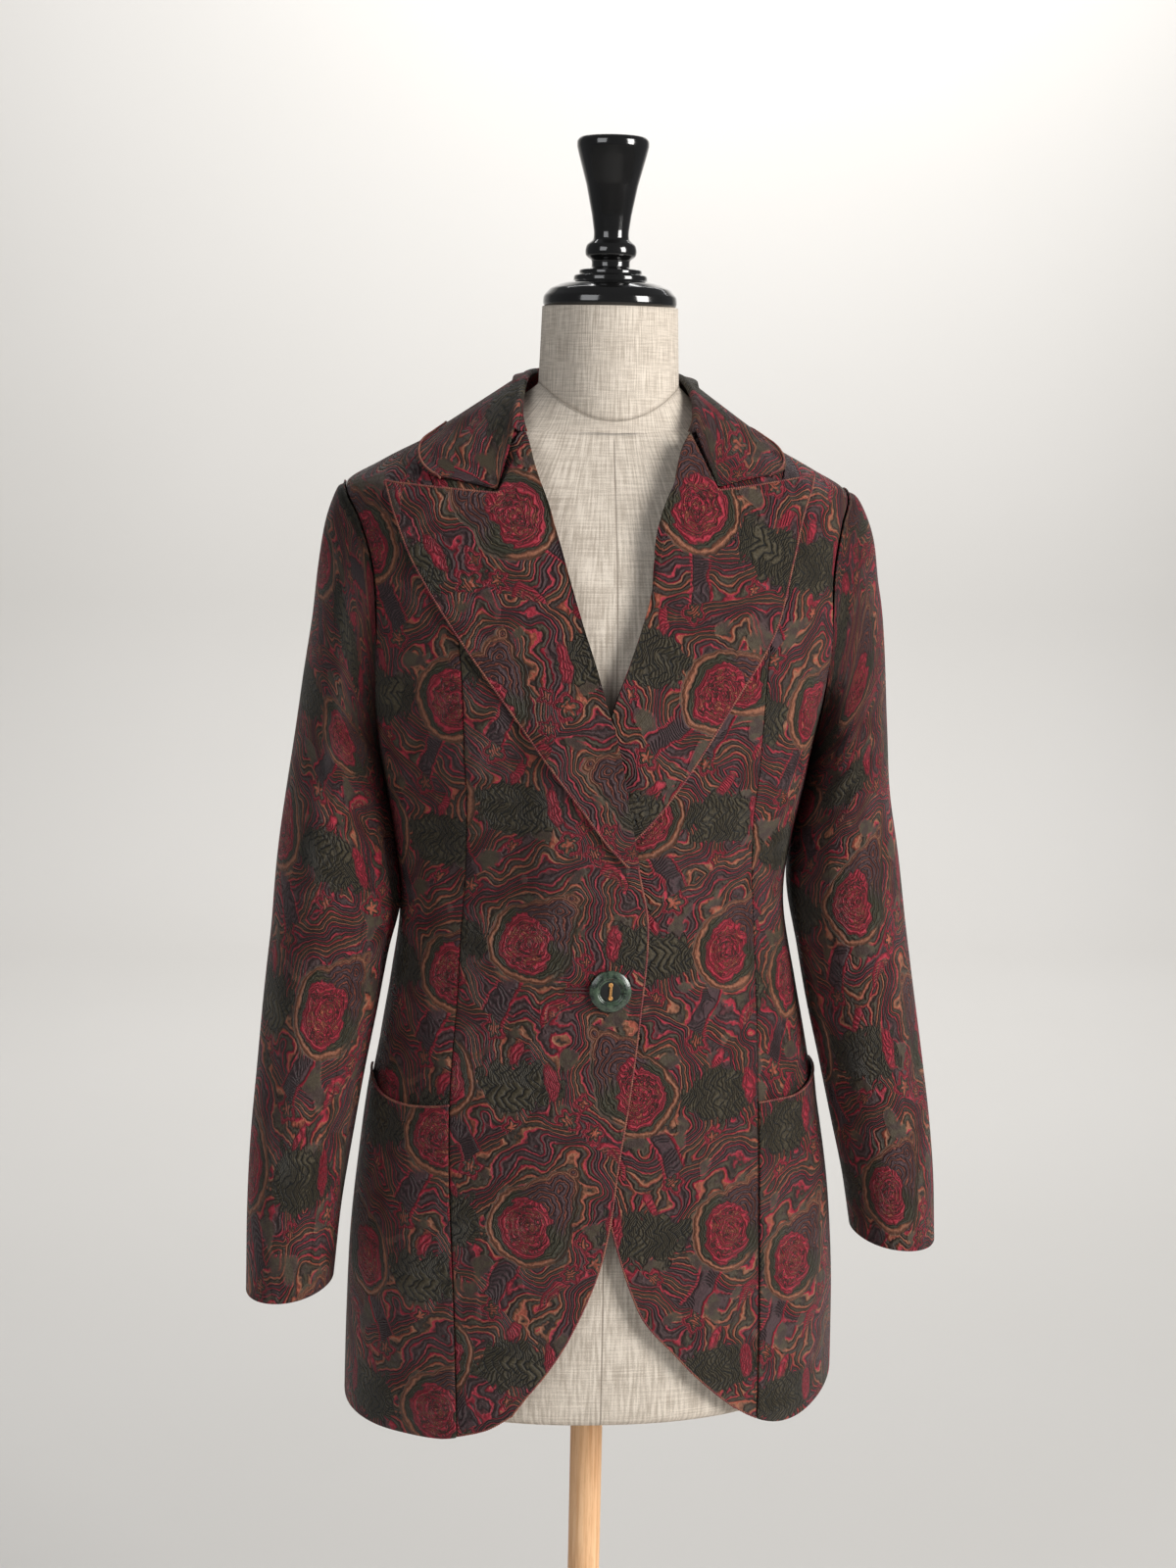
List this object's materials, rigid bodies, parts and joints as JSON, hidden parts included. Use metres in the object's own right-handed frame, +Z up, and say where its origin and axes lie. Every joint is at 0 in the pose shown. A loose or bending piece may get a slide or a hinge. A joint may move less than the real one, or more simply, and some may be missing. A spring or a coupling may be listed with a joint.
{
  "type": "brocade blazer on dress form",
  "caption": "One-button brocade blazer with peak lapels, princess seams, side pockets and curved cutaway hem, on a limbless linen dress form with a black turned cap, a pale wood pole and a round base.",
  "frame": {"origin": "centre of the round base's underside, on the floor", "axes": "+Z up along the pole, the front of the jacket faces -Y, and the wearer's left is +X"},
  "size_m": [0.536, 0.414, 1.586],
  "materials": {
    "brocade": "figured jacquard with a soft sheen",
    "linen": "matt plain weave",
    "lacquer": "glossy black lacquer",
    "wood": "clear satin varnish",
    "horn": "polished dark green marbled"
  },
  "bodies": {
    "root": {"front_right": "brocade", "side_front_right": "brocade", "pocket_right": "brocade", "back_right": "brocade", "lapel_right": "brocade", "sleeve_upper_right": "brocade", "sleeve_under_right": "brocade", "front_left": "brocade", "side_front_left": "brocade", "pocket_left": "brocade", "back_left": "brocade", "lapel_left": "brocade", "sleeve_upper_left": "brocade", "sleeve_under_left": "brocade", "collar": "brocade", "button": "horn", "dress_form_torso": "linen", "dress_form_neck": "linen", "dress_form_cap": "lacquer", "stand_pole": "wood", "stand_base": "wood"}
  },
  "joints": []
}
